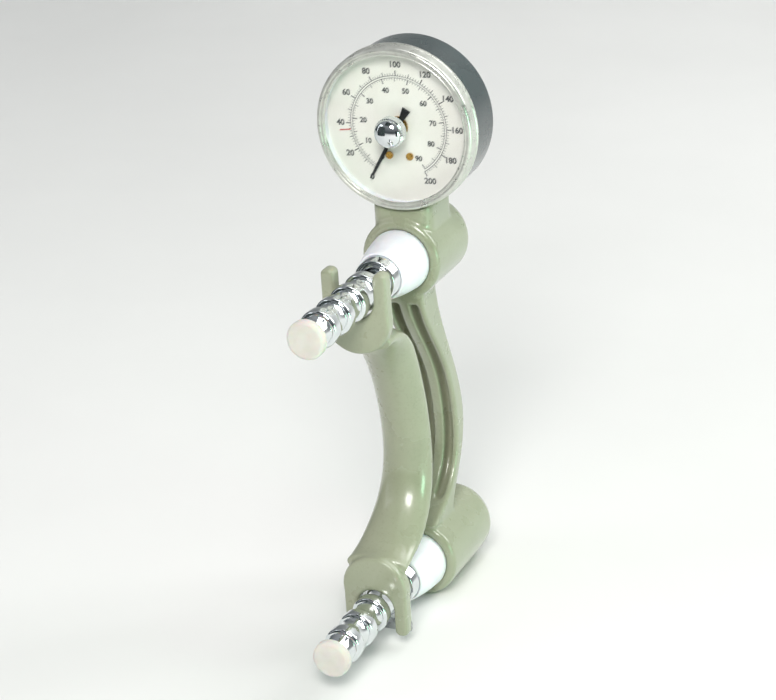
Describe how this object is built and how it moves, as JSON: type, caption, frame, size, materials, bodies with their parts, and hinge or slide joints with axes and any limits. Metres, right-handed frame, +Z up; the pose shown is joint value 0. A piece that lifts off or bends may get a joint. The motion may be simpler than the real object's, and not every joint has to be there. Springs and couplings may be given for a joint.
{
  "type": "hand dynamometer",
  "caption": "Hydraulic hand dynamometer: cast bar with chrome posts in white guide collars, adjustable bowed grip handle and a round dial gauge on top.",
  "frame": {"origin": "on the palm face of the fixed bar, midway between the two posts", "axes": "+Z up along the bar towards the gauge, -Y out along the posts and out of the dial, +X to the right when facing the dial"},
  "size_m": [0.066, 0.1316, 0.2355],
  "materials": {
    "sage_paint": "satin gloss",
    "post_chrome": "polished",
    "white_plastic": "satin",
    "cap_plastic": "translucent satin",
    "case_enamel": "gloss",
    "bezel_metal": "satin",
    "clear_lens": "clear",
    "dial_white": "matt",
    "pointer_black": "matt",
    "movement_brass": "machined",
    "screw_steel": "machined",
    "tube_steel": "drawn",
    "seal_rubber": "matt"
  },
  "bodies": {
    "frame": {"frame_casting": "sage_paint", "transfer_tube": "tube_steel", "bleed_screws": "screw_steel", "gauge_pad": "seal_rubber", "upper_collar": "white_plastic", "lower_collar": "white_plastic", "upper_wiper": "seal_rubber", "lower_wiper": "seal_rubber", "gauge_case": "case_enamel", "case_screws": "screw_steel", "bezel_ring": "bezel_metal", "lens": "clear_lens", "lens_gasket": "white_plastic", "dial_plate": "dial_white", "dial_screws": "movement_brass", "dial_spacers": "movement_brass", "gauge_stem": "movement_brass", "bourdon_tube": "movement_brass", "tube_end_cap": "movement_brass", "movement_front_plate": "movement_brass", "movement_back_plate": "movement_brass", "movement_pillars": "movement_brass", "movement_screws": "screw_steel", "knob_washer": "white_plastic"},
    "upper_post": {"upper_post": "post_chrome", "upper_post_cap": "cap_plastic", "upper_piston": "screw_steel", "upper_piston_seal": "seal_rubber"},
    "lower_post": {"lower_post": "post_chrome", "lower_post_cap": "cap_plastic", "lower_piston": "screw_steel", "lower_piston_seal": "seal_rubber"},
    "handle": {"grip_handle": "sage_paint", "handle_clip": "tube_steel", "clip_screws": "screw_steel"},
    "pointer": {"pointer": "pointer_black", "pointer_hub": "movement_brass", "pointer_arbor": "tube_steel", "hairspring": "movement_brass"},
    "sector": {"sector_gear": "movement_brass", "sector_arbor": "tube_steel"},
    "link": {"movement_link": "tube_steel"},
    "peak": {"peak_pointer": "pointer_black", "knob_shaft": "tube_steel", "reset_knob": "post_chrome"}
  },
  "joints": [
    {"name": "upper_press", "type": "slide", "parent": "frame", "child": "upper_post", "axis": [0, 1, 0], "range_m": [0, 0.0015], "stiffness_N_per_m": 20000},
    {"name": "lower_press", "type": "slide", "parent": "frame", "child": "lower_post", "axis": [0, 1, 0], "range_m": [0, 0.0015]},
    {"name": "handle_position", "type": "slide", "parent": "upper_post", "child": "handle", "axis": [0, -1, 0], "range_m": [-0.0127, 0.0381], "deforming": ["handle_clip"]},
    {"name": "pointer_spin", "type": "hinge", "parent": "frame", "child": "pointer", "pos_m": [0, -0.0325, 0.1195], "axis": [0, 1, 0], "range_deg": [0, 300]},
    {"name": "sector_swing", "type": "hinge", "parent": "frame", "child": "sector", "pos_m": [0, -0.0259, 0.1027], "axis": [0, 1, 0], "range_deg": [-36, 0]},
    {"name": "link_swing", "type": "hinge", "parent": "sector", "child": "link", "pos_m": [-0.009, -0.0246, 0.1027], "axis": [0, 1, 0], "range_deg": [0, 47.8]},
    {"name": "peak_spin", "type": "hinge", "parent": "frame", "child": "peak", "pos_m": [0, -0.038, 0.1195], "axis": [0, 1, 0], "range_deg": [0, 300]}
  ],
  "couplings": [
    {"joint": "lower_press", "follows": "upper_press", "ratio": 1},
    {"joint": "pointer_spin", "follows": "upper_press", "rad_per_m": 3490.7},
    {"joint": "sector_swing", "follows": "upper_press", "rad_per_m": -418.88},
    {"joint": "link_swing", "follows": "upper_press", "rad_per_m": 555}
  ]
}
